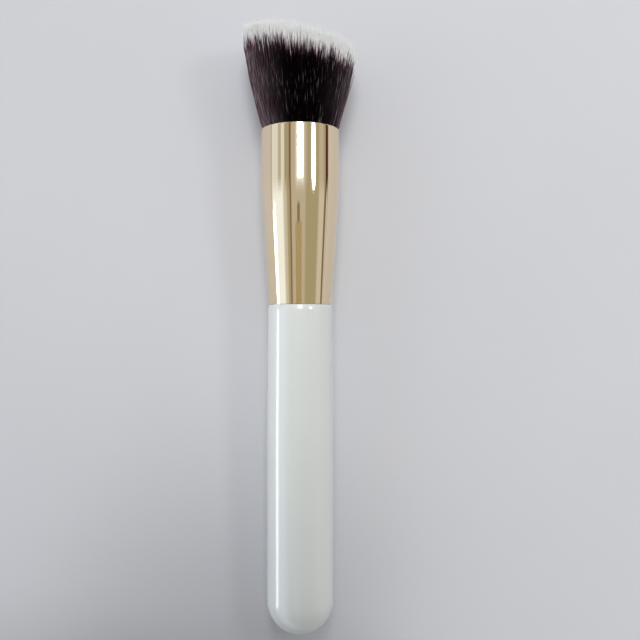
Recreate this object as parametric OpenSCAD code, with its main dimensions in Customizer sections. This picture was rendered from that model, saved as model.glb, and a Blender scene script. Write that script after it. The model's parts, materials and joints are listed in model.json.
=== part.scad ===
// Kabuki brush with a slanted flat top, lying on its side on a table.
// Each piece is drawn upright about Z, with the ferrule's tail at Z = 0, and then laid down.

/* [Handle] */
// Length from the rounded butt to the shoulder
handle_len = 88; // [75:1:110]
// Diameter of the straight rear stretch
handle_d = 17.8; // [17.4:0.1:20]
// Length of the straight rear stretch, with the rounded butt
straight_len = 52; // [30:1:60]
// Diameter just below the shoulder, on which the ferrule seats
shoulder_d = 17.2; // [17.1:0.1:17.3]
// Radius of the lacquered edge of the shoulder
shoulder_r = 0.35; // [0.3:0.05:0.4]
// Radius of the soft crown between that edge and the grip
crown_r = 6; // [5:0.5:7]
// Angle by which the crown turns in
crown_turn = 14; // [12:1:15]
// Radius of the curve from the straight stretch into the taper
handle_ease_r = 700; // [300:50:1000]

/* [Tenon] */
// Length of the tenon inside the ferrule
tenon_len = 18; // [16:0.5:21]
// Chamfer on the tenon's end
tenon_chamfer = 1; // [0.5:0.1:1.5]
// Number of glue grooves round the tenon
groove_count = 3; // [1:1:4]
// Width of a glue groove
groove_w = 1.2; // [0.8:0.1:1.6]
// Depth of a glue groove
groove_depth = 0.5; // [0.3:0.1:1]

/* [Ferrule] */
// Length from the tail to the mouth
ferrule_len = 46.6; // [44:0.1:56]
// Outer diameter of the mouth
mouth_d = 20.8; // [19.5:0.1:23]
// Outer diameter of the tail
tail_d = 16.8; // [16.5:0.1:17]
// Thickness of the drawn metal
ferrule_wall = 0.5; // [0.35:0.05:0.7]
// Length of the straight stretch behind the mouth
mouth_len = 15.5; // [11:0.5:20]
// Radius of the curve from the straight stretch into the taper
ferrule_ease_r = 140; // [60:10:180]

/* [Filaments] */
// Mean free length of the bundle
tuft_len = 24; // [19:0.1:32]
// Diameter of the bundle at the cut
tuft_d = 30.4; // [26:0.1:34]
// Slant of the cut
cut_angle = 11; // [0:0.5:20]
// Direction round the axis in which the bundle is longest
cut_turn = 160; // [0:5:355]
// How much shorter the outermost filaments are
rim_drop = 0.6; // [0:0.1:2]
// Unevenness of the cut
cut_scatter = 0.4; // [0:0.1:0.8]
// How much of the flare is near the mouth: at 1 it widens evenly
flare_power = 1.45; // [1.3:0.05:2]
// Length of the undyed white tips
tip_len = 4.6; // [3:0.1:7]
// Share of its room that a lock fills, across and round the bundle
lock_fill = 0.86; // [0.7:0.01:0.9]

/* [Root] */
// Length of the packed root inside the mouth
root_len = 11; // [9:0.5:13]
// Diameter of the binding thread
thread_d = 0.5; // [0.3:0.05:0.7]
// Turns of the binding thread
thread_turns = 4; // [2:1:5]
// Distance from the root's end to the first turn
thread_inset = 1.5; // [1:0.1:3]
// Length of the cast resin plug
resin_len = 9; // [6:0.5:12]
// Depth of the hollow in the plug's free face
resin_dish = 1.2; // [0.5:0.1:2]
// Length of the adhesive collar round the tenon
glue_len = 13; // [12:0.5:14]

/* [Fits] */
// Gap between pieces that are bonded or seated
fit_gap = 0.02; // [0.01:0.005:0.04]
// Gap between the tenon and the ferrule's tail
tenon_gap = 0.05; // [0.03:0.01:0.1]

/* [Hidden] */
$fn = 96;

// Colours from the photograph, and of the materials inside
lacquer_white = [0.91, 0.92, 0.91];
champagne_gold = [0.85, 0.74, 0.56];
dyed_brown = [0.17, 0.12, 0.14];
undyed_white = [0.93, 0.92, 0.90];
thread_cream = [0.86, 0.84, 0.78];
resin_amber = [0.80, 0.62, 0.30];
glue_cream = [0.88, 0.84, 0.70];

// Steps along curved profiles
edge_steps = 6;
ease_steps = 10;
butt_steps = 24;

// Handle and tenon
handle_r = handle_d / 2;
tenon_r = tail_d / 2 - ferrule_wall - tenon_gap;
first_groove = 3.5;
groove_pitch = (tenon_len - first_groove) / (groove_count + 1);
groove_feet = [for (k = [0:groove_count - 1]) first_groove + k * groove_pitch];

// Ferrule: the straight mouth runs through an arc into a cone that ends at the tail
mouth_r = mouth_d / 2;
tail_r = tail_d / 2;
cone_len = ferrule_len - mouth_len;
cone_slope = atan((mouth_r - tail_r) / cone_len);
ease_top = cone_len + ferrule_ease_r * tan(cone_slope / 2);
ease_foot = ease_top - ferrule_ease_r * sin(cone_slope);

// Packed root, and the waist in it that the thread binds
bore_r = mouth_r - ferrule_wall;
root_depth = 1.2;
root_top = ferrule_len - root_depth;
root_foot = root_top - root_len;
thread_foot = root_foot + thread_inset;
thread_top = thread_foot + thread_turns * thread_d;
glue_foot = 2;

// Bundle: ten rings of locks round a middle one, 331 in all. They are sunk in the root, lean out
// straight to a bend and then curve upright. Each lock has a place in a disc of radius 1, and the
// disc widens with the height above the mouth.
ring_count = 10;
lock_sink = 0.4;
lock_foot = -root_depth - lock_sink;
bend_h = 8.5;
rim_r = bore_r - 0.1;
tuft_r = tuft_d / 2;
longest = tuft_len + tuft_r * tan(cut_angle);
ring_pitch = 1 / (ring_count + lock_fill / 2);
scatter_seed = 7;

// Lying pose: the butt and the underside of the bundle both touch the table
under_h = tuft_len + tuft_r * tan(cut_angle) * sin(cut_turn) - rim_drop - tip_len;
under_r = bundle_r(under_h);
butt_to_under = handle_len - handle_r + ferrule_len + under_h;
lying_tilt = acos(handle_r / norm([butt_to_under, under_r])) - atan2(butt_to_under, under_r);
tail_z = handle_r + (handle_len - handle_r) * sin(lying_tilt);
rear_y = -(handle_len - handle_r) * cos(lying_tilt) - handle_r;
front_y = (ferrule_len + longest) * cos(lying_tilt);

// Laid from upright to lying: the axis points along +Y and rises towards the bundle
module laid_down() {
    translate([0, -(rear_y + front_y) / 2, tail_z])
        rotate([lying_tilt - 90, 0, 0])
            children();
}

// Points on an arc round c from angle a0 to a1
function arc(c, r, a0, a1, steps) =
    [for (i = [0:steps]) let (a = a0 + (a1 - a0) * i / steps) c + r * [cos(a), sin(a)]];

function reversed(list) = [for (i = [len(list) - 1:-1:0]) list[i]];

// Profile of the tenon from its end down to the shoulder
function tenon_side() =
    concat(
        [[0, tenon_len], [tenon_r - tenon_chamfer, tenon_len], [tenon_r, tenon_len - tenon_chamfer]],
        reversed([for (z = groove_feet) each groove_side(z, 0)]),
        [[tenon_r, 0]]
    );

// Profile of one glue groove upwards from its foot, with its walls moved out by a gap
function groove_side(z, gap) = [
    [tenon_r + gap, z + gap],
    [tenon_r - groove_depth + gap, z + gap],
    [tenon_r - groove_depth + gap, z + groove_w - gap],
    [tenon_r + gap, z + groove_w - gap]
];

// Profile of the grip from the shoulder's edge down to the rounded butt
function grip_side() =
    let (
        bend_z = straight_len - handle_len,
        lean = atan((handle_d - shoulder_d) / 2 / -bend_z),
        edge_to_crown = crown_r - shoulder_r,
        crown_c = [shoulder_d / 2 - crown_r * cos(lean), -shoulder_r - edge_to_crown * sin(crown_turn)],
        edge_c = crown_c + edge_to_crown * [cos(crown_turn), sin(crown_turn)],
        ease_c = [handle_r - handle_ease_r, bend_z - handle_ease_r * tan(lean / 2)]
    )
    concat(
        arc(edge_c, shoulder_r, 90, crown_turn, edge_steps),
        arc(crown_c, crown_r, crown_turn, lean, edge_steps),
        arc(ease_c, handle_ease_r, lean, 0, ease_steps),
        arc([0, handle_r - handle_len], handle_r, 0, -90, butt_steps)
    );

// Turned wooden handle: the lacquered grip and, inside the ferrule, the bare tenon
module handle() {
    color(lacquer_white)
        translate([0, 0, -fit_gap])
            rotate_extrude()
                polygon(concat(tenon_side(), grip_side()));
}

// Outer radius of the ferrule at height z
function ferrule_r(z) =
    z <= ease_foot ? tail_r + z * tan(cone_slope)
    : z >= ease_top ? mouth_r
    : mouth_r - ferrule_ease_r + sqrt(pow(ferrule_ease_r, 2) - pow(ease_top - z, 2));

// Profile from z0 up to z1 at a depth inside the ferrule's outer surface
function ferrule_side(z0, z1, depth) =
    let (bends = [for (i = [0:ease_steps]) ease_foot + (ease_top - ease_foot) * i / ease_steps])
    [for (z = concat([z0], [for (b = bends) if (b > z0 && b < z1) b], [z1])) [ferrule_r(z) - depth, z]];

// Drawn metal tube, tapered to the tail, with a rounded lip at the mouth
module ferrule() {
    lip_r = ferrule_wall / 2;
    lip_z = ferrule_len - lip_r;
    color(champagne_gold)
        rotate_extrude()
            polygon(concat(
                ferrule_side(0, lip_z, 0),
                arc([mouth_r - lip_r, lip_z], lip_r, 0, 180, edge_steps),
                reversed(ferrule_side(0, lip_z, ferrule_wall))
            ));
}

// Radius of the bundle at height h above the mouth, and down to the locks' feet in the root
function bundle_r(h) =
    h < bend_h ? rim_r + (curve_r(bend_h) - rim_r) * h / bend_h : curve_r(h);

function curve_r(h) = tuft_r - (tuft_r - rim_r) * pow(max(0, 1 - h / longest), flare_power);

// A lock's place: [radius, angle, half its depth, half its angle], in the disc of radius 1
function lock_places() =
    concat(
        [[0, 0, 0.4 * ring_pitch, 90]],
        [for (k = [1:ring_count], j = [0:6 * k - 1])
            let (step = 60 / k, stagger = 37 * k)
            [k * ring_pitch, j * step + stagger, lock_fill * ring_pitch / 2, lock_fill * step / 2]]
    );

places = lock_places();
lock_count = len(places);
scatter = rands(-cut_scatter, cut_scatter, lock_count, scatter_seed);

// Height above the mouth of the tip of lock i
function tip_h(i) =
    let (p = places[i])
    tuft_len + tan(cut_angle) * tuft_r * p[0] * cos(p[1] - cut_turn) - rim_drop * pow(p[0], 6) + scatter[i];

// The four corners of lock i at height h above the mouth
function lock_ring(i, h) =
    let (
        p = places[i],
        near = p[0] - p[2],
        far = p[0] + p[2],
        corners = i == 0
            ? [for (a = [45:90:315]) [far, a]]
            : [[near, p[1] - p[3]], [far, p[1] - p[3]], [far, p[1] + p[3]], [near, p[1] + p[3]]]
    )
    [for (c = corners) lock_point(c[0], c[1], h)];

function lock_point(radius, a, h) =
    [bundle_r(h) * radius * cos(a), bundle_r(h) * radius * sin(a), ferrule_len + h];

// Triangles that close a ring of four points, and that join ring k to ring k + 1
foot_faces = [[0, 1, 2], [0, 2, 3]];

function side_faces(k) =
    [for (j = [0:3]) let (a = 4 * k + j, b = 4 * k + (j + 1) % 4) each [[a, a + 4, b], [b, a + 4, b + 4]]];

// Lock i: its dyed length, from its foot in the root to the dye line, and its undyed, pointed tip
module lock(i) {
    dye_line = lock_ring(i, tip_h(i) - tip_len);
    color(dyed_brown)
        polyhedron(
            points = concat(lock_ring(i, lock_foot), lock_ring(i, bend_h), dye_line),
            faces = concat(foot_faces, side_faces(0), side_faces(1), [[8, 10, 9], [8, 11, 10]])
        );
    color(undyed_white)
        polyhedron(
            points = concat(dye_line, [lock_point(places[i][0], places[i][1], tip_h(i))]),
            faces = concat(foot_faces, [[0, 4, 1], [1, 4, 2], [2, 4, 3], [3, 4, 0]])
        );
}

// The root, where the filaments are packed and bound
module packed_root() {
    waist = thread_d + 2 * fit_gap;
    color(dyed_brown)
        rotate_extrude()
            polygon(concat(
                [[0, root_foot]],
                ferrule_side(root_foot, thread_foot - fit_gap, ferrule_wall + fit_gap),
                [for (z = [thread_foot - fit_gap, thread_top + fit_gap])
                    [ferrule_r(thread_foot) - ferrule_wall - fit_gap - waist, z]],
                ferrule_side(thread_top + fit_gap, root_top, ferrule_wall + fit_gap),
                [[0, root_top]]
            ));
}

// All the filaments: one bundle, packed at the root and parted into locks above it
module filaments() {
    packed_root();
    for (i = [0:lock_count - 1]) lock(i);
}

// Turns of thread that bind the root
module tie_thread() {
    outer = ferrule_r(thread_foot) - ferrule_wall - 2 * fit_gap;
    turn_r = thread_d / 2;
    color(thread_cream)
        rotate_extrude()
            polygon(concat(
                [[outer - thread_d, thread_foot]],
                [for (k = [0:thread_turns - 1])
                    each arc([outer - turn_r, thread_foot + (2 * k + 1) * turn_r], turn_r, -80, 80, edge_steps)],
                [[outer - thread_d, thread_top]]
            ));
}

// Resin cast over the root's end, with the hollow that it set with
module root_resin() {
    foot = root_foot - resin_len;
    edge = ferrule_r(foot) - ferrule_wall - fit_gap;
    dish_r = (pow(edge, 2) + pow(resin_dish, 2)) / (2 * resin_dish);
    dish_a = asin(edge / dish_r);
    color(resin_amber)
        rotate_extrude()
            polygon(concat(
                arc([0, foot + resin_dish - dish_r], dish_r, 90, 90 - dish_a, ease_steps),
                ferrule_side(foot, root_foot - fit_gap, ferrule_wall + fit_gap),
                [[0, root_foot - fit_gap]]
            ));
}

// Adhesive set between the tenon, with its grooves, and the ferrule
module tenon_glue() {
    top = glue_foot + glue_len;
    inner = tenon_r + fit_gap;
    filled = [for (z = groove_feet) if (z > glue_foot && z + groove_w < top) z];
    color(glue_cream)
        rotate_extrude()
            polygon(concat(
                [[inner, glue_foot]],
                [for (z = filled) each groove_side(z - fit_gap, fit_gap)],
                [[inner, top]],
                reversed(ferrule_side(glue_foot, top, ferrule_wall + fit_gap))
            ));
}

laid_down() handle();
laid_down() ferrule();
laid_down() filaments();
laid_down() tie_thread();
laid_down() root_resin();
laid_down() tenon_glue();
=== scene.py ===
# %% [markdown]
# A kabuki brush, lying on a pale table and seen from straight above. The handle and the ferrule
# come ready made from the frame and only need a finish. The bundle of filaments comes as a coarse
# solid, and this lesson replaces it with thousands of single fibres.

# %% Load the frame
import json
import math

import bmesh
import bpy
import numpy as np
from mathutils import Matrix, Vector


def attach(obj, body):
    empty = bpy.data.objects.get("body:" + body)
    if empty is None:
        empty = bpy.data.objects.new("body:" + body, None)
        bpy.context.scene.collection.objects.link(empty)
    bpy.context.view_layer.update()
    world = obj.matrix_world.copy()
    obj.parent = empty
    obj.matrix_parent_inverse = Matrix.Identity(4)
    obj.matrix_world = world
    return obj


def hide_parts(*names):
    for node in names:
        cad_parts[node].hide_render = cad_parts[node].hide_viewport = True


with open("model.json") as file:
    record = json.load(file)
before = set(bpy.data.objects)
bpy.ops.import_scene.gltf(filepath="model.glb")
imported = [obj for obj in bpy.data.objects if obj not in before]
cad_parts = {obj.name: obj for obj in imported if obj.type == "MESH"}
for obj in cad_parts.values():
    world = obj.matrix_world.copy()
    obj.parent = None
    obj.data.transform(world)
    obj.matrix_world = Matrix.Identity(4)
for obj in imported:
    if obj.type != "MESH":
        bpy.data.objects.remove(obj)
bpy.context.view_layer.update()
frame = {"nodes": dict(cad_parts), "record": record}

print("nodes:", sorted(frame["nodes"]))

# %% [markdown]
# The brush lies at a slight tilt, so its own axis isn't the frame's Y axis. The frame's record
# states that axis as the grip's mount, and the ferrule's mesh says where the mouth and the tail
# are on it. Measuring them here keeps every new piece on the real ones, whatever the tilt is.

# %% Measure the brush's axis
MM = 0.001
grip = frame["record"]["mounts"][0]
along = -Vector(grip["axis"]).normalized()
right = Vector((1, 0, 0))
outward = right.cross(along)


def stations(node):
    """Distances of a node's vertices along the axis, from the middle of the grip."""
    start = Vector(grip["pos_m"])
    return [(v.co - start).dot(along) for v in frame["nodes"][node].data.vertices]


mouth = Vector(grip["pos_m"]) + along * max(stations("ferrule"))
tail = Vector(grip["pos_m"]) + along * min(stations("ferrule"))
brush_frame = Matrix((right, along, outward)).transposed().to_4x4()
print("tilt in degrees:", round(math.degrees(math.asin(along.z)), 2))
print("ferrule in mm:", round((mouth - tail).length / MM, 1))

# %% [markdown]
# The camera stands where the photograph was taken from: 209 mm above the brush and square to its
# axis. Its focal length in pixels and the place of the brush in the picture were read from the
# photograph, and both are turned into a lens and a position here.

# %% Place the camera
PICTURE = 640
FOCAL_PX = 777
SENSOR = 36
camera_height = 208.7 * MM
look_below_tail = 4.2 * MM
camera_right = 5.3 * MM

camera_data = bpy.data.cameras.new("camera")
camera_data.sensor_width = SENSOR
camera_data.lens = SENSOR * FOCAL_PX / PICTURE
camera = bpy.data.objects.new("camera", camera_data)
bpy.context.scene.collection.objects.link(camera)
eye = tail - along * look_below_tail + outward * camera_height + right * camera_right
camera.matrix_world = Matrix.Translation(eye) @ brush_frame
bpy.context.scene.camera = camera
print("lens in mm:", round(camera_data.lens, 1))

# %% [markdown]
# Materials are built from nodes, and every one of them needs the same few steps: a material, its
# Principled shader, and nodes that feed it. Three small helpers keep the recipes below readable.

# %% Helpers for materials


def new_finish(name):
    """A material, its node tree and its Principled shader."""
    material = bpy.data.materials.new(name)
    material.use_nodes = True
    return material, material.node_tree, material.node_tree.nodes["Principled BSDF"]


def add(tree, kind, **values):
    """A node of that kind. A value names an input, or else a property of the node."""
    node = tree.nodes.new(kind)
    for key, value in values.items():
        socket = next((s for s in node.inputs if s.name == key.replace("_", " ")), None)
        if socket is None:
            setattr(node, key, value)
        else:
            socket.default_value = value
    return node


def ramp(tree, factor, stops):
    """A colour ramp over factor, whose stops are (position, colour)."""
    node = add(tree, "ShaderNodeValToRGB")
    elements = node.color_ramp.elements
    while len(elements) < len(stops):
        elements.new(1)
    for element, (position, colour) in zip(elements, stops):
        element.position = position
        element.color = (*colour, 1)
    tree.links.new(factor, node.inputs["Fac"])
    return node.outputs["Color"]


# %% [markdown]
# Lacquer, polished metal and cast resin are all smooth, but never perfectly: the coat swells a
# little, fine dust sits on it, and its tone drifts. Each could be built anew in every material.
# One node group gives them all, as a height, a mask and a mottle, and each material sets how
# coarse and how strong they are.

# %% A shared group for swell and dust


def make_swell_group():
    """The shared group. Its noises read Object coordinates, so they stay where the piece is."""
    group = bpy.data.node_groups.new("swell_and_dust", "ShaderNodeTree")
    number = {"socket_type": "NodeSocketFloat"}
    for name in ("Swell Scale", "Dust Scale", "Dust Share"):
        group.interface.new_socket(name, in_out="INPUT", **number)
    for name in ("Height", "Dust", "Mottle"):
        group.interface.new_socket(name, in_out="OUTPUT", **number)
    inputs = add(group, "NodeGroupInput")
    outputs = add(group, "NodeGroupOutput")
    place = add(group, "ShaderNodeTexCoord")
    swell = add(group, "ShaderNodeTexNoise", Detail=2.0, Roughness=0.4)
    specks = add(group, "ShaderNodeTexVoronoi", Randomness=1.0)
    near = add(group, "ShaderNodeMath", operation="LESS_THAN")
    mottle = add(group, "ShaderNodeTexNoise", Scale=25.0, Detail=4.0)
    link = group.links.new
    for node in (swell, specks, mottle):
        link(place.outputs["Object"], node.inputs["Vector"])
    link(inputs.outputs["Swell Scale"], swell.inputs["Scale"])
    link(inputs.outputs["Dust Scale"], specks.inputs["Scale"])
    link(specks.outputs["Distance"], near.inputs[0])
    link(inputs.outputs["Dust Share"], near.inputs[1])
    link(swell.outputs["Fac"], outputs.inputs["Height"])
    link(near.outputs[0], outputs.inputs["Dust"])
    link(mottle.outputs["Fac"], outputs.inputs["Mottle"])
    return group


swell_group = make_swell_group()


def place_swell(tree, swell_scale, dust_scale, dust_share):
    """The group in a material, with that material's own values."""
    node = add(tree, "ShaderNodeGroup", node_tree=swell_group)
    node.inputs["Swell Scale"].default_value = swell_scale
    node.inputs["Dust Scale"].default_value = dust_scale
    node.inputs["Dust Share"].default_value = dust_share
    return node


print("group sockets:", [socket.name for socket in swell_group.interface.items_tree])

# %% [markdown]
# The handle is turned wood under thick white lacquer. A clear coat over a rougher white gives the
# sharp window reflection on a soft body colour. The tenon, past the shoulder, has no lacquer, so
# the same material turns to bare wood there, by the distance along the brush.

# %% Lacquer the handle
mottle_low, mottle_high = 0.3, 0.7
lacquer_dull, lacquer_bright = (0.712, 0.737, 0.725), (0.742, 0.767, 0.755)
wood_dark, wood_light = (0.52, 0.36, 0.20), (0.68, 0.52, 0.33)


def past_tail(tree):
    """Distance of the shaded point along the brush, from the ferrule's tail."""
    place = add(tree, "ShaderNodeTexCoord")
    offset = add(tree, "ShaderNodeVectorMath", operation="SUBTRACT")
    offset.inputs[1].default_value = tail
    dot = add(tree, "ShaderNodeVectorMath", operation="DOT_PRODUCT")
    dot.inputs[1].default_value = along
    tree.links.new(place.outputs["Object"], offset.inputs[0])
    tree.links.new(offset.outputs[0], dot.inputs[0])
    return dot.outputs["Value"]


def mottled(tree, swell, dull, bright):
    """A colour that drifts between two tones, by the mottle of a placed group."""
    return ramp(tree, swell.outputs["Mottle"], [(mottle_low, dull), (mottle_high, bright)])


def make_lacquer():
    """White lacquer up to the ferrule's tail, and bare wood on the tenon past it."""
    material, tree, shader = new_finish("white_lacquer")
    link = tree.links.new
    swell = place_swell(tree, 45.0, 700.0, 0.05)
    body = mottled(tree, swell, lacquer_dull, lacquer_bright)
    grain = add(tree, "ShaderNodeTexWave", Scale=90.0, Distortion=6.0, Detail=3.0,
                bands_direction="X")
    wood = ramp(tree, grain.outputs["Fac"], [(0.0, wood_dark), (1.0, wood_light)])
    is_tenon = add(tree, "ShaderNodeMath", operation="GREATER_THAN")
    link(past_tail(tree), is_tenon.inputs[0])
    colour = add(tree, "ShaderNodeMix", data_type="RGBA")
    link(is_tenon.outputs[0], colour.inputs["Factor"])
    link(body, colour.inputs["A"])
    link(wood, colour.inputs["B"])
    link(colour.outputs["Result"], shader.inputs["Base Color"])
    bump = add(tree, "ShaderNodeBump", Strength=0.06, Distance=0.0004)
    link(swell.outputs["Height"], bump.inputs["Height"])
    link(bump.outputs["Normal"], shader.inputs["Normal"])
    shader.inputs["Roughness"].default_value = 0.32
    shader.inputs["Coat Weight"].default_value = 1.0
    shader.inputs["Coat Roughness"].default_value = 0.03
    return material


def dress(node, material):
    """Gives a CAD node's every material slot that finish."""
    for place in frame["nodes"][node].material_slots:
        place.material = material


dress("handle", make_lacquer())
print("finished: handle")

# %% [markdown]
# The ferrule is drawn aluminium, polished and anodised to champagne gold, so nearly all of its
# look is reflection. A metal colour with low roughness does most of it. Drawing leaves faint
# lines along the tube: a noise stretched along the axis, as bump and as a little roughness,
# breaks the reflections up as the real ones are.

# %% Polish the ferrule
gold_dull, gold_bright = (0.86, 0.70, 0.49), (0.90, 0.74, 0.53)


def lines_along(tree, scale, stretch):
    """Noise that runs in lines along the brush."""
    place = add(tree, "ShaderNodeTexCoord")
    turn = add(tree, "ShaderNodeMapping", vector_type="TEXTURE")
    turn.inputs["Rotation"].default_value = brush_frame.to_euler()
    turn.inputs["Scale"].default_value = (1, stretch, 1)
    noise = add(tree, "ShaderNodeTexNoise", Scale=scale, Detail=3.0)
    tree.links.new(place.outputs["Object"], turn.inputs["Vector"])
    tree.links.new(turn.outputs["Vector"], noise.inputs["Vector"])
    return noise.outputs["Fac"]


def make_gold():
    """Polished metal, with swell under the lines that drawing left."""
    material, tree, shader = new_finish("champagne_gold")
    link = tree.links.new
    drawn = lines_along(tree, 1400.0, 60.0)
    swell = place_swell(tree, 110.0, 1200.0, 0.05)
    colour = mottled(tree, swell, gold_dull, gold_bright)
    rough = add(tree, "ShaderNodeMapRange")
    rough.inputs["To Min"].default_value = 0.03
    rough.inputs["To Max"].default_value = 0.07
    link(drawn, rough.inputs["Value"])
    swell_bump = add(tree, "ShaderNodeBump", Strength=0.10, Distance=0.0002)
    line_bump = add(tree, "ShaderNodeBump", Strength=0.02, Distance=0.00002)
    link(swell.outputs["Height"], swell_bump.inputs["Height"])
    link(drawn, line_bump.inputs["Height"])
    link(swell_bump.outputs["Normal"], line_bump.inputs["Normal"])
    link(colour, shader.inputs["Base Color"])
    link(rough.outputs["Result"], shader.inputs["Roughness"])
    link(line_bump.outputs["Normal"], shader.inputs["Normal"])
    shader.inputs["Metallic"].default_value = 1.0
    return material


dress("ferrule", make_gold())
print("finished: ferrule")

# %% [markdown]
# Thread, resin and adhesive are sealed inside the ferrule. They still get their own finish,
# because the model can be taken apart: twisted cream thread, clear amber resin, and set adhesive
# with bubbles.

# %% Finish the sealed pieces
thread_shade, thread_light = (0.58, 0.54, 0.46), (0.82, 0.79, 0.71)
resin_dark, resin_light = (0.50, 0.30, 0.10), (0.66, 0.44, 0.18)
adhesive_dark, adhesive_light = (0.72, 0.66, 0.50), (0.84, 0.79, 0.64)


def make_thread():
    """Cream thread, whose twist shows as slanting bands."""
    material, tree, shader = new_finish("twisted_thread")
    twist = add(tree, "ShaderNodeTexWave", Scale=900.0, Distortion=1.5,
                bands_direction="DIAGONAL")
    place = add(tree, "ShaderNodeTexCoord")
    bump = add(tree, "ShaderNodeBump", Strength=0.6, Distance=0.0001)
    tree.links.new(place.outputs["Object"], twist.inputs["Vector"])
    colour = ramp(tree, twist.outputs["Fac"], [(0.0, thread_shade), (1.0, thread_light)])
    tree.links.new(colour, shader.inputs["Base Color"])
    tree.links.new(twist.outputs["Fac"], bump.inputs["Height"])
    tree.links.new(bump.outputs["Normal"], shader.inputs["Normal"])
    shader.inputs["Roughness"].default_value = 0.8
    return material


def make_cast(name, dark, light, roughness, bubbles):
    """Resin or adhesive: mottled, with bubbles of that share."""
    material, tree, shader = new_finish(name)
    swell = place_swell(tree, 200.0, 600.0, bubbles)
    bump = add(tree, "ShaderNodeBump", Strength=0.3, Distance=0.0002, invert=True)
    colour = mottled(tree, swell, dark, light)
    tree.links.new(colour, shader.inputs["Base Color"])
    tree.links.new(swell.outputs["Dust"], bump.inputs["Height"])
    tree.links.new(bump.outputs["Normal"], shader.inputs["Normal"])
    shader.inputs["Roughness"].default_value = roughness
    return material


dress("tie_thread", make_thread())
dress("root_resin", make_cast("amber_resin", resin_dark, resin_light, 0.12, 0.1))
dress("tenon_glue", make_cast("set_adhesive", adhesive_dark, adhesive_light, 0.5, 0.25))
print("finished: thread, resin, adhesive")

# %% [markdown]
# The bundle is drawn from its measurements. It fills the mouth, bulges over the lip, flares
# quickly and then slowly, and is cut flat on a slant. The three functions below give its radius
# at a height above the mouth, the height of the cut over a place, and a point of the bundle in
# the frame.

# %% Measure the bundle
tuft_length = 24.6 * MM
tuft_radius = 15.3 * MM
lip_radius = 10.15 * MM
bore_radius = 9.78 * MM
cut_slope = math.tan(math.radians(11))
cut_turn = math.radians(160)
flare_end = 27.0 * MM
flare_power = 1.45
lip_reach = 0.35 * MM


def bundle_radius(height):
    """Outer radius of the bundle at heights above the mouth."""
    flare = (1 - np.clip(height / flare_end, 0, 1)) ** flare_power
    curve = tuft_radius - (tuft_radius - lip_radius) * flare
    lip = (lip_radius - bore_radius) * np.exp(-np.maximum(height, 0) / lip_reach)
    return curve - lip


def cut_height(x, up):
    """Height of the slanted cut over a place across the brush."""
    return tuft_length + cut_slope * (x * math.cos(cut_turn) - up * math.sin(cut_turn))


def to_frame(x, up, height):
    """Points in the frame, from their place across the brush and their height above the mouth."""
    places = np.stack([x, height, up], axis=-1)
    return places @ np.array([right, along, outward]) + np.array(mouth)


radii = [round(float(bundle_radius(height * MM)) / MM, 2) for height in (0, 5, 10, 20, 27)]
print("bundle radius in mm, from the mouth up:", radii)

# %% [markdown]
# No eye reaches the middle of the bundle, so a dark core stands for the fibres packed there. More
# fibres would fill it too, but none of them would ever be seen. It is a profile spun round the
# axis: the bound root inside the ferrule, then the flare, a good way inside the fibres. A slanted
# cut closes it below the white tips.

# %% Make the core
root_depth = 12.2 * MM
core_share, overlap_share = 0.8, 0.02
surface_share = core_share - overlap_share
core_below_cut = 8.0 * MM
core_past_cut = 4.0 * MM
core_press = 0.1 * MM
core_leaves_bore = 1.2 * MM
core_rings, core_sides = 12, 64
bound_low, bound_high = 10.72 * MM, 8.68 * MM
waist_radius = 9.3 * MM


def core_profile():
    """Half section of the root and the core, as (radius, height)."""
    bore = bore_radius + core_press
    root = [(bore, -root_depth), (bore, -bound_low), (waist_radius, -bound_low),
            (waist_radius, -bound_high), (bore, -bound_high), (bore, -core_leaves_bore)]
    heights = np.linspace(0, 1, core_rings) * (tuft_length - core_below_cut + core_past_cut)
    flare = [(core_share * float(bundle_radius(height)), float(height)) for height in heights]
    return [(0, -root_depth)] + root + flare + [(0, flare[-1][1])]


def link_piece(name, mesh):
    """Puts a new piece of the bundle in the scene, in place of the solid one."""
    piece = bpy.data.objects.new(name, mesh)
    bpy.context.scene.collection.objects.link(piece)
    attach(piece, "root")
    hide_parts("filaments")
    return piece


def cut_normal():
    """Direction that the slanted cut faces, away from the handle."""
    across, up = cut_slope * math.cos(cut_turn), -cut_slope * math.sin(cut_turn)
    return (along - right * across - outward * up).normalized()


def make_core():
    """Spins the half section, cuts it on the slant and closes the cut."""
    bm = bmesh.new()
    points = [bm.verts.new(mouth + right * r + along * h) for r, h in core_profile()]
    for start, end in zip(points, points[1:]):
        bm.edges.new((start, end))
    bmesh.ops.spin(bm, geom=bm.verts[:] + bm.edges[:], cent=mouth, axis=along, angle=math.tau,
                   steps=core_sides, use_merge=True)
    bmesh.ops.remove_doubles(bm, verts=bm.verts, dist=1e-6)
    level = mouth + along * (tuft_length - core_below_cut)
    cut = bmesh.ops.bisect_plane(bm, geom=bm.verts[:] + bm.edges[:] + bm.faces[:],
                                 plane_co=level, plane_no=cut_normal(), clear_outer=True)
    edges = [e for e in cut["geom_cut"] if isinstance(e, bmesh.types.BMEdge)]
    bmesh.ops.contextual_create(bm, geom=edges)
    bmesh.ops.recalc_face_normals(bm, faces=bm.faces)
    mesh = bpy.data.meshes.new("packed_core")
    bm.to_mesh(mesh)
    bm.free()
    return link_piece("packed_core", mesh)


core = make_core()
print("core faces:", len(core.data.polygons))

# %% [markdown]
# Each fibre has a home in a disc of radius 1, spread evenly as seeds are in a sunflower, and the
# disc widens as the bundle flares. Fibres cling together, so each belongs to a clump, and drifts
# towards its clump's middle on the way up. Small waves and leans of its own keep it from being
# straight.

# %% Give every fibre a home
rng = np.random.default_rng(11)
golden_angle = math.pi * (3 - math.sqrt(5))
clump_count, clump_jitter = 2000, 0.008
clump_lean_size = 0.16 * MM
white_length, clump_white_scatter = 4.3 * MM, 0.22 * MM


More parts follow.
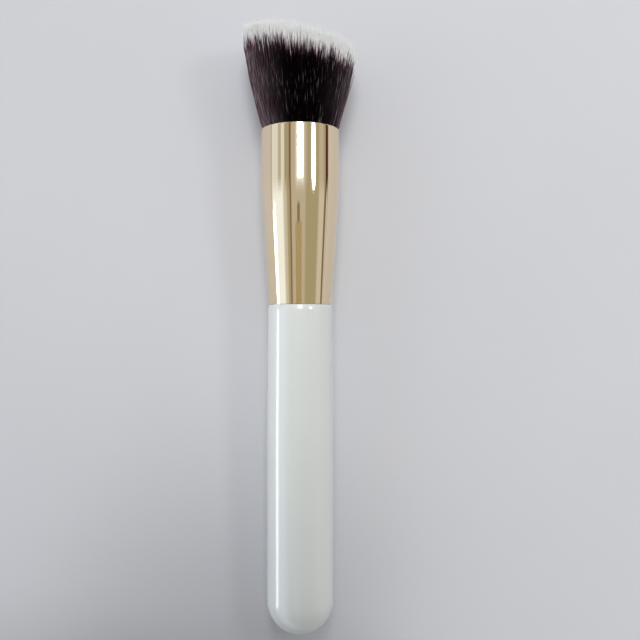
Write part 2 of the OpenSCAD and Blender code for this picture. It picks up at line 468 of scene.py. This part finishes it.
def seeds(count, inner, outer, jitter):
    """Evenly spread places in a ring of the unit disc, as (x, up)."""
    share = (np.arange(count) + 0.5) / count
    radius = np.sqrt(inner**2 + share * (outer**2 - inner**2))
    angle = np.arange(count) * golden_angle
    places = np.stack([radius * np.cos(angle), radius * np.sin(angle)], axis=1)
    places += rng.normal(0, jitter, places.shape)
    size = np.linalg.norm(places, axis=1, keepdims=True)
    return places * np.minimum(1, outer / size)


clumps = seeds(clump_count, 0, 1, clump_jitter)
clump_lean = rng.normal(0, clump_lean_size, (clump_count, 2))
clump_white = white_length + rng.normal(0, clump_white_scatter, clump_count)


def nearest_clump(homes):
    """For each home, the number of the clump whose middle is nearest."""
    found = [np.argmin(((clumps - home) ** 2).sum(axis=1)) for home in homes]
    return np.array(found)


print("clumps:", len(clumps))

# %% [markdown]
# A fibre's path is a row of points from its foot to its tip. All paths are worked out together,
# as arrays: one row per fibre and one column per point. Points lie closer together near the foot,
# where the fibres bend over the lip. The outermost fibres end a little lower, which rounds the
# cut's edge, and a few stray from the rest. Those at the underside lie flat on the table and
# don't pass into it.

# %% Draw the paths of the fibres
fibre_radius = 0.055 * MM
fibre_foot, foot_power = 1.5 * MM, 1.4
edge_drop, edge_power = 0.7 * MM, 6
tip_scatter = 0.55 * MM
gather_share, bend_power = 0.3, 1.5
own_lean = 0.25 * MM
stray_share, stray_factor = 0.03, 2.4
waves = ((11 * MM, 0.11 * MM), (5 * MM, 0.07 * MM))


def fibre_paths(homes, clump, length, points):
    """Paths of the fibres, and each point's distance to the tip. No length means whole fibres."""
    count = len(homes)
    rim = np.linalg.norm(homes, axis=1)
    wide = tuft_radius * homes
    cut = cut_height(wide[:, 0], wide[:, 1]) - edge_drop * rim**edge_power
    tip = cut + rng.normal(0, tip_scatter, count)
    start = np.full(count, -fibre_foot) if length is None else tip - length
    height = start[:, None] + (tip - start)[:, None] * np.linspace(0, 1, points) ** foot_power
    rise = np.clip(height / tip[:, None], 0, 1)[..., None]
    gather = gather_share * rise**bend_power
    place = homes[:, None, :] * (1 - gather) + clumps[clump][:, None, :] * gather
    strays = np.where(rng.random(count) < stray_share, stray_factor, 1)
    lean = clump_lean[clump] + rng.normal(0, own_lean, (count, 2)) * strays[:, None]
    lean = lean[:, None, :] * rise**bend_power
    across = bundle_radius(height)[..., None] * place + lean
    for period, size in waves:
        phase = rng.uniform(0, math.tau, (count, 1, 2))
        across += size * rise * np.sin(math.tau * height[..., None] / period + phase)
    paths = to_frame(across[..., 0], across[..., 1], height)
    paths[..., 2] = np.maximum(paths[..., 2], fibre_radius)
    return paths, tip[:, None] - height


# %% [markdown]
# A curve object turns paths into tubes: it sweeps a small triangle along each path, scaled by the
# radius at each point. The result is made a mesh, so that it can carry values per point for the
# material: the distance to the fibre's tip, the length of its white, its tone and its share of
# painted side light.

# %% Sweep the fibres
corners = 3


def make_section():
    """The triangle that is swept along each path."""
    curve = bpy.data.curves.new("section", "CURVE")
    spline = curve.splines.new("POLY")
    spline.points.add(corners - 1)
    for k, point in enumerate(spline.points):
        angle = k * math.tau / corners
        point.co = (math.cos(angle), math.sin(angle), 0, 1)
    spline.use_cyclic_u = True
    section = bpy.data.objects.new("section", curve)
    bpy.context.scene.collection.objects.link(section)
    return section


def sweep(name, paths, radii):
    """A mesh of one closed tube per path."""
    section = make_section()
    curve = bpy.data.curves.new(name, "CURVE")
    curve.dimensions = "3D"
    curve.bevel_mode = "OBJECT"
    curve.bevel_object = section
    for path, radius in zip(paths, radii):
        spline = curve.splines.new("POLY")
        spline.points.add(len(path) - 1)
        spline.points.foreach_set("co", np.c_[path, np.ones(len(path))].ravel())
        spline.points.foreach_set("radius", radius)
    swept = bpy.data.objects.new(name, curve)
    bpy.context.scene.collection.objects.link(swept)
    evaluated = swept.evaluated_get(bpy.context.evaluated_depsgraph_get())
    mesh = bpy.data.meshes.new_from_object(evaluated)
    mesh.name = name
    bpy.data.objects.remove(swept)
    bpy.data.objects.remove(section)
    bpy.data.curves.remove(curve)
    bm = bmesh.new()
    bm.from_mesh(mesh)
    bmesh.ops.holes_fill(bm, edges=[e for e in bm.edges if e.is_boundary], sides=corners)
    bm.to_mesh(mesh)
    bm.free()
    return mesh


def mark(mesh, name, values):
    """Stores one value per path point, for each of the corners of its section."""
    attribute = mesh.attributes.new(name, "FLOAT", "POINT")
    attribute.data.foreach_set("value", np.repeat(values.ravel(), corners).astype(np.float32))


print("corners of a fibre's section:", corners)

# %% [markdown]
# The dye doesn't end at one height: the ends of the fibres stay white for a length that varies
# from clump to clump and from fibre to fibre, which makes the edge of the dye ragged. Towards the
# middle of the cut face the white reaches deeper, so that the face reads as white between the
# tips too. The bundle's sides are painted lighter, as painted side light, most at the left side.
# A fibre's tip is drawn finer than the rest, as on real ones.

# %% Shape one piece of the bundle
fine_end, end_share = 4.0 * MM, 0.15
thinnest, thickest = 0.8, 1.15
white_scatter = 1.0 * MM
deeper_white = 3.5 * MM
left_power = 3.3
right_share, right_power = 0.12, 3
rim_share, rim_power = 0.5, 11


def side_light_share(x):
    """How much painted side light a fibre carries: most at the bundle's left side, less at its
    right.
    """
    left, right = np.clip(-x, 0, 1), np.clip(x, 0, 1)
    return left**left_power + right_share * right**right_power + rim_share * right**rim_power


def make_fibres(name, homes, length, points):
    """One piece of the bundle: its fibres, marked with what their finish needs to know."""
    count = len(homes)
    clump = nearest_clump(homes)
    paths, to_tip = fibre_paths(homes, clump, length, points)
    width = fibre_radius * rng.uniform(thinnest, thickest, (count, 1))
    taper = np.clip(end_share + (1 - end_share) * to_tip / fine_end, end_share, 1)
    mesh = sweep(name, paths, width * taper)
    depth = np.clip(1 - np.linalg.norm(homes, axis=1) / surface_share, 0, 1)
    white = clump_white[clump] + rng.normal(0, white_scatter, count) + deeper_white * depth
    # Each fibre's share of painted side light is marked along with its white and its tone.
    marks = {"white": white / MM, "tone": rng.random(count), "side_light": side_light_share(homes[:, 0])}
    mark(mesh, "to_tip", to_tip / MM)
    for key, values in marks.items():
        mark(mesh, key, np.broadcast_to(values[:, None], to_tip.shape))
    return link_piece(mesh.name, mesh)


# Share of painted side light at the left side, the middle and the right side.
print("painted_side_light at the left side, the middle and the right side:",
      [round(float(side_light_share(x)), 2) for x in (-1, 0, 1)])

# %% [markdown]
# Fibres at the surface are drawn whole. Further in, only the last few millimetres can be seen,
# past the tips of the others, so those fibres start just above the core and need fewer points.
# The bundle is split into several pieces to keep each mesh of a workable size.

# %% Make the fibres
outer_count, outer_pieces, outer_points = 13000, 4, 10
inner_count, inner_pieces, inner_points = 19000, 3, 5
inner_length = 9.5 * MM
home_jitter = 0.004
outer_homes = seeds(outer_count, surface_share, 1, home_jitter)
inner_homes = seeds(inner_count, 0, surface_share, home_jitter)
fibres = []
for k, homes in enumerate(np.array_split(outer_homes, outer_pieces)):
    fibres.append(make_fibres(f"outer_fibres_{k + 1}", homes, None, outer_points))
for k, homes in enumerate(np.array_split(inner_homes, inner_pieces)):
    fibres.append(make_fibres(f"inner_fibres_{k + 1}", homes, inner_length, inner_points))
for piece in fibres:
    print(piece.name, "faces:", len(piece.data.polygons))

# %% [markdown]
# The fibre is nylon: white where the dye stopped, then thinly dyed purple, then nearly black.
# Each point knows how far it is from its fibre's tip and how long the white is there, so these
# zones are worked out in the shader. The bundle's sides are painted a lighter, streaky mauve, as
# painted side light.

# %% Helpers for the dye
streak_scale, tone_span = 0.18, 500


def value_of(tree, name):
    """What the fibres were marked with under that name."""
    return add(tree, "ShaderNodeAttribute", attribute_name=name).outputs["Fac"]


def streaks(tree):
    """Noise in streaks along the fibres. Their tones keep the fibres far apart in the noise."""
    which = add(tree, "ShaderNodeMath", operation="MULTIPLY")
    which.inputs[1].default_value = tone_span
    shifted = add(tree, "ShaderNodeMath", operation="ADD")
    place = add(tree, "ShaderNodeCombineXYZ")
    noise = add(tree, "ShaderNodeTexNoise", Scale=streak_scale, Detail=1.0)
    tree.links.new(value_of(tree, "tone"), which.inputs[0])
    tree.links.new(which.outputs[0], shifted.inputs[0])
    tree.links.new(value_of(tree, "to_tip"), shifted.inputs[1])
    tree.links.new(which.outputs[0], place.inputs["X"])
    tree.links.new(shifted.outputs[0], place.inputs["Y"])
    tree.links.new(place.outputs[0], noise.inputs["Vector"])
    return noise.outputs["Fac"]


def past_dye(tree, low, high):
    """Goes from 0 to 1 between two distances in mm past the end of the dye, towards the tip."""
    past = add(tree, "ShaderNodeMath", operation="SUBTRACT")
    tree.links.new(value_of(tree, "white"), past.inputs[0])
    tree.links.new(value_of(tree, "to_tip"), past.inputs[1])
    share = add(tree, "ShaderNodeMapRange", interpolation_type="SMOOTHSTEP")
    share.inputs["From Min"].default_value = low
    share.inputs["From Max"].default_value = high
    tree.links.new(past.outputs[0], share.inputs["Value"])
    return share.outputs["Result"]


def blend_colours(tree, share, first, second):
    """Goes from the first colour to the second. Each is a colour or a node's output."""
    mix = add(tree, "ShaderNodeMix", data_type="RGBA")
    tree.links.new(share, mix.inputs["Factor"])
    for colour, socket in ((first, mix.inputs["A"]), (second, mix.inputs["B"])):
        if isinstance(colour, tuple):
            socket.default_value = (*colour, 1)
        else:
            tree.links.new(colour, socket)
    return mix.outputs["Result"]


print("streaks are about", round(1 / streak_scale, 1), "mm long")

# %% [markdown]
# Fully dyed fibre is nearly black, with a few pale streaks of painted glint where light would
# catch a fibre. The sides show the same streaks in mauve, as painted side light. Mixing the two by
# each fibre's share of it, and then going over a thin purple zone into the white, needs no image
# texture and follows each fibre to its own tip.

# %% Dye the fibres
# The top stop of the first ramp is a painted glint; the second ramp is the mauve dye under painted
# side light, with painted glints at its top.
dye_with_glints = [(0.0, (0.001, 0.0004, 0.0006)), (0.64, (0.002, 0.0008, 0.0013)),
            (0.78, (0.42, 0.31, 0.355))]
lit_side_dye = [(0.38, (0.10, 0.042, 0.066)), (0.5, (0.24, 0.16, 0.19)), (0.66, (0.60, 0.49, 0.54))]
undyed = [(0.0, (0.94, 0.94, 0.93)), (1.0, (0.98, 0.98, 0.97))]
thin_dye = (0.15, 0.045, 0.09)
thin_zone, white_zone = (-1.9, 0.3), (-0.3, 1.0)


def make_fibre_finish():
    """Streaky dye, with painted glints and painted side light, that ends in white tips."""
    material, tree, shader = new_finish("dyed_fibre")
    streak = streaks(tree)
    deep_with_glints = ramp(tree, streak, dye_with_glints)
    side = ramp(tree, streak, lit_side_dye)
    # The lighter sides are painted side light, mixed in by each fibre's share.
    dyed = blend_colours(tree, value_of(tree, "side_light"), deep_with_glints, side)
    edge = blend_colours(tree, past_dye(tree, *thin_zone), dyed, thin_dye)
    plain = ramp(tree, value_of(tree, "tone"), undyed)
    colour = blend_colours(tree, past_dye(tree, *white_zone), edge, plain)
    tree.links.new(colour, shader.inputs["Base Color"])
    shader.inputs["Roughness"].default_value = 0.35
    shader.inputs["Specular IOR Level"].default_value = 0.02
    return material


fibre_finish = make_fibre_finish()
for piece in fibres:
    piece.data.materials.clear()
    piece.data.materials.append(fibre_finish)
print("finished:", [piece.name for piece in fibres])

# %% [markdown]
# In the core the fibres are too close together to tell apart. It has no fibres to carry marks, so
# they are lines along the brush in its colour and its bump, as dark as the dye in shadow.

# %% Finish the core
core_dark, core_light = (0.002, 0.001, 0.0015), (0.030, 0.017, 0.022)
dark_up_to, light_from = 0.35, 0.7


def make_packed_finish():
    """Dark lines along the brush."""
    material, tree, shader = new_finish("packed_fibre")
    lines = lines_along(tree, 5000.0, 60.0)
    colour = ramp(tree, lines, [(dark_up_to, core_dark), (light_from, core_light)])
    bump = add(tree, "ShaderNodeBump", Strength=0.4, Distance=0.0001)
    tree.links.new(colour, shader.inputs["Base Color"])
    tree.links.new(lines, bump.inputs["Height"])
    tree.links.new(bump.outputs["Normal"], shader.inputs["Normal"])
    shader.inputs["Roughness"].default_value = 0.6
    shader.inputs["Specular IOR Level"].default_value = 0.1
    return material


core.data.materials.append(make_packed_finish())
print("finished:", core.name)

# %% [markdown]
# The table is a plain pale grey board. It is only a stage: it catches the brush's shadow and
# shows in the ferrule's sides. Its colour carries painted shade: a little darker towards the tips,
# where the lamps are, lighter towards the butt, and darker in a spot round the butt. Moving lamps
# could give that too, but would change the brush as well, so the board's own colour does it.

# %% Tone the table
board_dull, board_bright = (0.635, 0.640, 0.684), (0.660, 0.660, 0.699)
cloud_low, cloud_high = 0.35, 0.65
spot_place = (-0.018, -0.095, 0)
spot_size = (0.066, 0.096, 1)
spot_shade = 0.77
slope_span = 0.1
shade_at_butt, shade_at_tips = 1.065, 0.955


def make_shade(tree, place):
    """What the board's colour is multiplied by: the painted shade spot, and the painted slope of
    light from butt to tips.
    """
    link = tree.links.new
    spot = add(tree, "ShaderNodeMapping", vector_type="TEXTURE")
    spot.inputs["Location"].default_value = spot_place
    spot.inputs["Scale"].default_value = spot_size
    away = add(tree, "ShaderNodeVectorMath", operation="LENGTH")
    shade = add(tree, "ShaderNodeMapRange", interpolation_type="SMOOTHSTEP")
    shade.inputs["To Min"].default_value = spot_shade
    part = add(tree, "ShaderNodeSeparateXYZ")
    slope = add(tree, "ShaderNodeMapRange")
    slope.inputs["From Min"].default_value = -slope_span
    slope.inputs["From Max"].default_value = slope_span
    slope.inputs["To Min"].default_value = shade_at_butt
    slope.inputs["To Max"].default_value = shade_at_tips
    both = add(tree, "ShaderNodeMath", operation="MULTIPLY")
    link(place, spot.inputs["Vector"])
    link(spot.outputs["Vector"], away.inputs[0])
    link(away.outputs["Value"], shade.inputs["Value"])
    link(place, part.inputs["Vector"])
    link(part.outputs["Y"], slope.inputs["Value"])
    link(shade.outputs["Result"], both.inputs[0])
    link(slope.outputs["Result"], both.inputs[1])
    return both.outputs[0]


def make_board_colour(tree):
    """Faintly clouded grey, with the painted shade."""
    link = tree.links.new
    place = add(tree, "ShaderNodeTexCoord").outputs["Object"]
    cloud = add(tree, "ShaderNodeTexNoise", Scale=9.0, Detail=5.0)
    link(place, cloud.inputs["Vector"])
    board = ramp(tree, cloud.outputs["Fac"], [(cloud_low, board_dull), (cloud_high, board_bright)])
    shaded = add(tree, "ShaderNodeMix", data_type="RGBA", blend_type="MULTIPLY")
    shaded.inputs["Factor"].default_value = 1.0
    link(board, shaded.inputs["A"])
    link(make_shade(tree, place), shaded.inputs["B"])
    return shaded.outputs["Result"]


print("shade from butt to tips:", shade_at_butt, "to", shade_at_tips)

# %% [markdown]
# A small share of the board's brightness, for the camera and in reflections, doesn't depend on
# the light, so that the shadows stay as pale as the photograph's. What the board gives off there
# is taken from what it reflects, and the light that it throws on the brush stays as it is.

# %% Lay the table
table_side = 6
steady_share = 0.06


def keep_steady(tree, shader, colour):
    """Gives off that share of the colour to the camera and in reflections."""
    link = tree.links.new
    ray = add(tree, "ShaderNodeLightPath")
    seen = add(tree, "ShaderNodeMath", operation="MAXIMUM")
    steady = add(tree, "ShaderNodeMath", operation="MULTIPLY")
    steady.inputs[1].default_value = steady_share
    lit = add(tree, "ShaderNodeMix", data_type="RGBA")
    lit.inputs["B"].default_value = (0, 0, 0, 1)
    link(ray.outputs["Is Camera Ray"], seen.inputs[0])
    link(ray.outputs["Is Glossy Ray"], seen.inputs[1])
    link(seen.outputs[0], steady.inputs[0])
    link(steady.outputs[0], lit.inputs["Factor"])
    link(colour, lit.inputs["A"])
    link(lit.outputs["Result"], shader.inputs["Base Color"])
    link(colour, shader.inputs["Emission Color"])
    link(steady.outputs[0], shader.inputs["Emission Strength"])


def make_sheet(name, width, length, place, material):
    """A flat sheet of the stage, whose middle is at that place."""
    bm = bmesh.new()
    bmesh.ops.create_grid(bm, x_segments=1, y_segments=1, size=0.5)
    bmesh.ops.scale(bm, vec=(width, length, 1), verts=bm.verts)
    bmesh.ops.translate(bm, vec=place, verts=bm.verts)
    mesh = bpy.data.meshes.new(name)
    bm.to_mesh(mesh)
    bm.free()
    mesh.materials.append(material)
    sheet = bpy.data.objects.new(name, mesh)
    bpy.context.scene.collection.objects.link(sheet)
    return sheet


def make_table():
    """The board, in its finish."""
    material, tree, shader = new_finish("pale_table")
    keep_steady(tree, shader, make_board_colour(tree))
    shader.inputs["Roughness"].default_value = 0.7
    return make_sheet("table", table_side, table_side, (0, 0, 0), material)


make_table()
print("laid the table, side in m:", table_side)

# %% [markdown]
# A camera this close to the brush hides part of the room from it, and so does whatever stands
# behind the butt. Cards do the same here. Two hang as high as the camera, the second as the first
# one's darker end, and show as a dull band in the ferrule and the lacquer. The third hangs low
# and only shades the butt and the table round it. The camera can't see the cards, and all of them
# belong to the stage.

# %% Hang the cards over the brush
card_height, low_card_height = 0.225, 0.07
low_card_place = (-0.028, -0.118, low_card_height)


def make_card(name, width, length, place, colour):
    """A matt card that the camera can't see."""
    material, _, shader = new_finish(name)
    shader.inputs["Base Color"].default_value = (*colour, 1)
    card = make_sheet(name, width, length, place, material)
    card.visible_camera = False
    return card


make_card("high_card", 0.072, 0.143, (-0.014, -0.052, card_height), (0.82, 0.71, 0.40))
make_card("high_card_end", 0.030, 0.010, (-0.014, 0.0245, card_height), (0.49, 0.40, 0.22))
low_card = make_card("low_card", 0.10, 0.145, low_card_place, (0.20, 0.20, 0.20))
low_card.visible_glossy = False
print("card heights in m:", card_height, low_card_height)

# %% [markdown]
# The light comes from a room: lamps overhead, low windows on the left, on the right and beyond
# the tips, and walls that give a little from all round. Each lamp is an area light, placed and
# sized by where it shows in the ferrule, and its power follows from how bright it should look
# there. The last two windows show in nothing and only give light.

# %% Hang the lamps
quarter = math.pi / 2
lamp_white = (0.98, 0.99, 1.0)


def soft_light(name, place, size, brightness, colour, turn=(0, 0, 0), shape="RECTANGLE"):
    """An area light. Unturned, it faces down, with its width along X and its length along Y."""
    width, length = size
    data = bpy.data.lights.new(name, "AREA")
    data.shape = shape
    data.size, data.size_y = width, length
    data.color = colour
    area = width * length * (1 if shape == "RECTANGLE" else math.pi / 4)
    data.energy = brightness * math.pi * area
    lamp = bpy.data.objects.new(name, data)
    lamp.location = place
    lamp.rotation_euler = turn
    bpy.context.scene.collection.objects.link(lamp)
    print(name, "in W:", round(data.energy, 2))
    return lamp


soft_light("lamp_above", (0.008, 0.195, 0.43), (0.115, 0.23), 9.3, lamp_white)
soft_light("lamp_right", (0.358, 0.126, 0.43), (0.135, 0.122), 11.0, lamp_white, shape="ELLIPSE")
soft_light("window_left", (-2.64, -0.49, 0.21), (0.53, 1.30), 5.2, (0.92, 0.98, 1.0),
           turn=(0, -quarter, 0))
unseen = [
    soft_light("window_right", (2.64, -0.66, 0.31), (0.62, 1.40), 0.9, (1.0, 1.0, 0.97),
               turn=(0, quarter, 0)),
    soft_light("window_beyond", (0.11, 2.42, 0.62), (1.98, 1.10), 1.15, (1.0, 1.0, 1.0),
               turn=(-quarter, 0, 0)),
]
for window in unseen:
    window.visible_glossy = False

# %% [markdown]
# The polished ferrule shows the whole room, so the world is that room, seen from the brush: bands
# of wall, window, beam and ceiling, from the left horizon over the top to the right horizon. The
# straight mouth mirrors the room beyond the tips, and the tapered tail mirrors the room overhead,
# so there is a row of bands for each. What lights matt surfaces is paler than that, because most
# of such a room is white. The camera itself sees a plain pale backdrop.

# %% Choose the bands of the room
WINDOW = (1.00, 1.15, 1.34)
PANE = (0.80, 0.88, 0.95)
WALL = (0.64, 0.65, 0.62)
SHADE = (0.54, 0.53, 0.47)
CEILING = (0.42, 0.40, 0.29)
BEAM = (0.20, 0.13, 0.08)
DARK = (0.08, 0.022, 0.018)
beyond_tips = [
    (-90, -69, PANE), (-66, -58, SHADE), (-56, -48, PANE), (-45, -33, CEILING), (-31, -28, BEAM),
    (-25, -14, SHADE), (-11, 12, PANE), (15, 18, SHADE), (24, 32, CEILING), (35, 46, PANE),
    (49, 57, CEILING), (60, 72, SHADE), (76, 81, CEILING), (83, 90, DARK),
]
overhead = [
    (-90, -54, WINDOW), (-48, -41, WALL), (-37, -31, CEILING), (-29, -27, BEAM), (-24, 15, SHADE),
    (20, 55, CEILING), (62, 77, WALL), (80, 84, BEAM), (87, 90, WALL),
]


def band_ramp(tree, factor, bands):
    """A ramp round the whole circle, in which half a turn to either side is 0 and 1."""
    stops = [(0.5 + angle / 360, colour) for low, high, colour in bands for angle in (low, high)]
    return ramp(tree, factor, stops)


print("bands overhead and beyond the tips:", len(overhead), len(beyond_tips))

# %% [markdown]
# A direction's angle round the brush picks the band, and how far it points along the brush picks
# the row of bands. Both come from its share along the brush's own three directions.

# %% Build the room
BACKDROP = (0.66, 0.67, 0.69)
matt_saturation, matt_value = 0.4, 0.93
overhead_up_to, beyond_from = math.radians(3), math.radians(9)


def part_along(tree, place, direction):
    """How much of the looked-at direction points that way."""
    dot = add(tree, "ShaderNodeVectorMath", operation="DOT_PRODUCT")
    dot.inputs[1].default_value = direction
    tree.links.new(place.outputs["Generated"], dot.inputs[0])
    return dot.outputs["Value"]


def make_bands(tree):
    """The two rows of bands, blended into one room."""
    link = tree.links.new
    place = add(tree, "ShaderNodeTexCoord")
    turn = add(tree, "ShaderNodeMath", operation="ARCTAN2")
    link(part_along(tree, place, right), turn.inputs[0])
    link(part_along(tree, place, outward), turn.inputs[1])
    share = add(tree, "ShaderNodeMath", operation="MULTIPLY_ADD")
    share.inputs[1].default_value = 1 / math.tau
    share.inputs[2].default_value = 0.5
    link(turn.outputs[0], share.inputs[0])
    row = add(tree, "ShaderNodeMapRange", interpolation_type="SMOOTHSTEP")
    row.inputs["From Min"].default_value = math.sin(overhead_up_to)
    row.inputs["From Max"].default_value = math.sin(beyond_from)
    link(part_along(tree, place, along), row.inputs["Value"])
    room = add(tree, "ShaderNodeMix", data_type="RGBA")
    link(row.outputs["Result"], room.inputs["Factor"])
    link(band_ramp(tree, share.outputs[0], overhead), room.inputs["A"])
    link(band_ramp(tree, share.outputs[0], beyond_tips), room.inputs["B"])
    return room.outputs["Result"]


def make_room():
    """The world: bands in reflections, paler on matt surfaces, plain to the camera."""
    world = bpy.data.worlds.new("room")
    world.use_nodes = True
    bpy.context.scene.world = world
    tree = world.node_tree
    link = tree.links.new
    ray = add(tree, "ShaderNodeLightPath")
    pale = add(tree, "ShaderNodeHueSaturation", Saturation=matt_saturation, Value=matt_value)
    link(ray.outputs["Is Diffuse Ray"], pale.inputs["Fac"])
    link(make_bands(tree), pale.inputs["Color"])
    seen = add(tree, "ShaderNodeMix", data_type="RGBA")
    seen.inputs["B"].default_value = (*BACKDROP, 1)
    link(ray.outputs["Is Camera Ray"], seen.inputs["Factor"])
    link(pale.outputs["Color"], seen.inputs["A"])
    link(seen.outputs["Result"], tree.nodes["Background"].inputs["Color"])


make_room()
bpy.context.scene.view_settings.view_transform = "Standard"
print("world:", bpy.context.scene.world.name)
